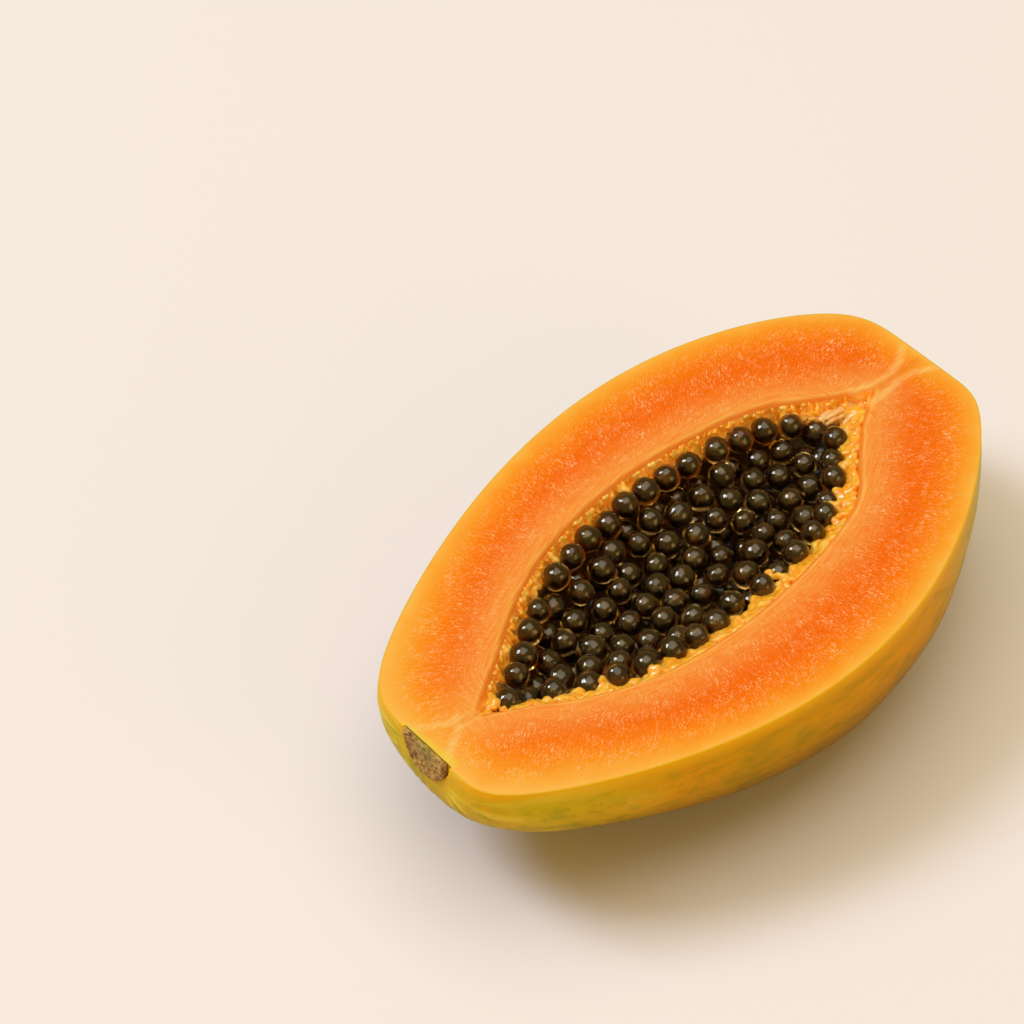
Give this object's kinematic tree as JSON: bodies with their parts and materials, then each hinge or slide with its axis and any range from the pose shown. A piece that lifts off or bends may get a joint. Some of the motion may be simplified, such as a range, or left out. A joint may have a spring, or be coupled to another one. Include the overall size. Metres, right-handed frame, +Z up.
{
  "type": "papaya",
  "caption": "Half of a ripe papaya cut lengthwise, with its seeds in the hollow, lying on its skin with the cut face up.",
  "frame": {"origin": "middle of the flat spot on the skin that the fruit lies on, in the plane of the surface it lies on", "axes": "+X from the stem end to the blossom end, +Y to the left of that, +Z up out of the cut face"},
  "size_m": [0.1776, 0.1072, 0.0448],
  "materials": {
    "flesh": "wet cut flesh, pale next to the skin and deep orange in the middle",
    "skin": "thin satin skin, yellow mottled with green",
    "pulp": "wet nubbly pulp on the wall of the hollow",
    "scar": "dry fibrous cork",
    "seed": "wrinkled dark seed",
    "sac": "clear wet sac round each seed"
  },
  "bodies": {
    "root": {"fruit_half": "flesh", "stem_scar": "scar", "seeds": "seed"}
  },
  "joints": []
}
